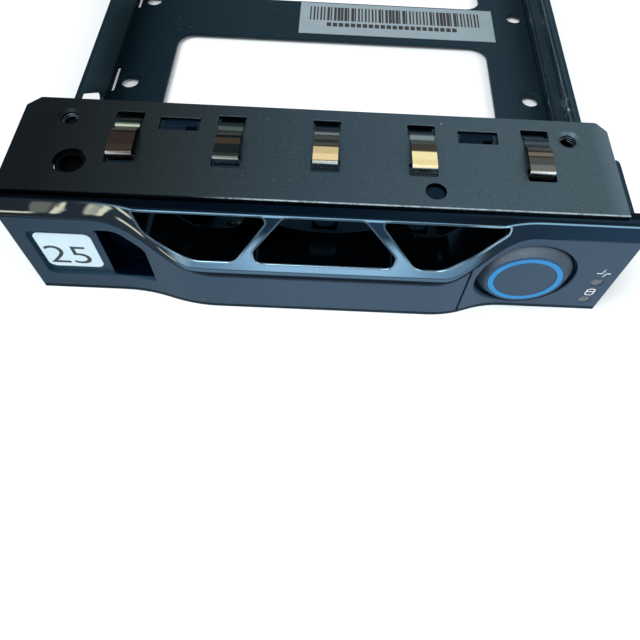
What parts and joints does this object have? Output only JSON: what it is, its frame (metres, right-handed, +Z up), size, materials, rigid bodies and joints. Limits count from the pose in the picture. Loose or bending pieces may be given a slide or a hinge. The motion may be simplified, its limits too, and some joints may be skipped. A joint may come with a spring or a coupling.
{
  "type": "hot swap drive caddy",
  "caption": "Sheet steel tray for a 3.5 inch drive with a vented moulded front, swinging lever, round release button and light pipes.",
  "frame": {"origin": "underside of the tray's front floor, on the drive's centre line, level with the outer ends of the front face", "axes": "+Z up from the tray floor, +Y back into the chassis, +X to the right seen from the front"},
  "size_m": [0.105, 0.1708, 0.0282],
  "materials": {
    "steel": "satin, blue-black",
    "bright_steel": "plain bright",
    "finger_steel": "bright spring strip",
    "gloss_trim": "high gloss blue-black",
    "slate_plastic": "fine matte grain",
    "ring_blue": "bright blue, smooth",
    "dark_pin": "black oxide",
    "clear_plastic": "clear, smooth",
    "label_white": "satin printed label",
    "label_grey": "satin printed label"
  },
  "bodies": {
    "tray": {"tray_base": "steel", "head_cover": "steel", "cover_rivets": "bright_steel", "spring_finger_1": "finger_steel", "spring_finger_2": "finger_steel", "spring_finger_3": "finger_steel", "spring_finger_4": "finger_steel", "spring_finger_5": "finger_steel", "vent_trim": "gloss_trim", "trim_screws": "bright_steel", "lever_pivot_pin": "dark_pin", "bezel_housing": "slate_plastic", "housing_screws": "bright_steel", "light_pipe_upper": "clear_plastic", "light_pipe_lower": "clear_plastic", "tray_label": "label_grey", "button_spring": "bright_steel", "latch_spring": "bright_steel"},
    "lever": {"handle_lever": "slate_plastic", "number_label": "label_white", "lever_spring": "bright_steel"},
    "button": {"release_button": "slate_plastic", "button_ring": "ring_blue"},
    "latch": {"latch_slider": "slate_plastic"}
  },
  "joints": [
    {"name": "lever_hinge", "type": "hinge", "parent": "tray", "child": "lever", "pos_m": [-0.04105, 0.0076, 0.011], "axis": [0, 0, -1], "range_deg": [0, 55]},
    {"name": "button_press", "type": "slide", "parent": "tray", "child": "button", "axis": [0, 1, 0], "range_m": [0, 0.002], "stiffness_N_per_m": 400, "springref_m": -0.0005, "deforming": ["button_spring"]},
    {"name": "latch_slide", "type": "slide", "parent": "tray", "child": "latch", "axis": [1, 0, 0], "range_m": [0, 0.002], "stiffness_N_per_m": 150, "deforming": ["latch_spring"]}
  ],
  "couplings": [
    {"joint": "latch_slide", "follows": "button_press", "ratio": 1}
  ]
}
